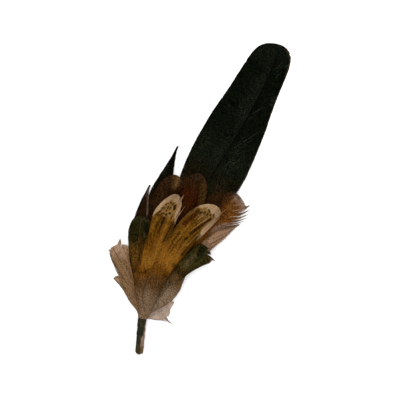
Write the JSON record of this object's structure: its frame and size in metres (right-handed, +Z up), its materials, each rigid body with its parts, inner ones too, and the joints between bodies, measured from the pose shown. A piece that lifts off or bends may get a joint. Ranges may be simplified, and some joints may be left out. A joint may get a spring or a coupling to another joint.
{
  "type": "feather hat trim",
  "caption": "A long dark feather behind shorter brown, golden, green and downy feathers, fanned out and bound by their quills in a short taped stem, to tuck in a hat band.",
  "frame": {"origin": "centre of the bounding box, on the surface that the trim lies on", "axes": "+Y along the trim towards the long feather's tip, +X to the right seen from above, +Z up from the surface, with the feathers' good side up"},
  "size_m": [0.0492, 0.151, 0.0065],
  "materials": {
    "black": "green-black feather with a faint sheen",
    "pointed": "green-black feather, brown towards its foot",
    "brown": "dark brown feather with soft edges",
    "chestnut": "chestnut feather with a paler rim",
    "rust": "loose rust-brown feather",
    "buff": "loose pinkish buff feather",
    "green": "olive green feather, brown towards its foot",
    "golden": "golden brown feather with dark streaks and a speckled cream tip",
    "down": "pale beige downy feather",
    "tape": "matt dark green crepe tape",
    "quill": "bare quills, a horn-like pale brown"
  },
  "bodies": {
    "root": {"long_black_feather": "black", "lower_down_feather": "down", "right_down_feather": "down", "tall_pointed_feather": "pointed", "right_brown_feather": "brown", "left_down_feather": "down", "short_pointed_feather": "pointed", "middle_brown_feather": "brown", "left_chestnut_feather": "chestnut", "buff_feather": "buff", "left_green_feather": "green", "rust_feather": "rust", "right_chestnut_feather": "chestnut", "right_green_feather": "green", "left_golden_feather": "golden", "right_golden_feather": "golden", "stem_tape": "tape", "quill_bundle": "quill"}
  },
  "joints": []
}
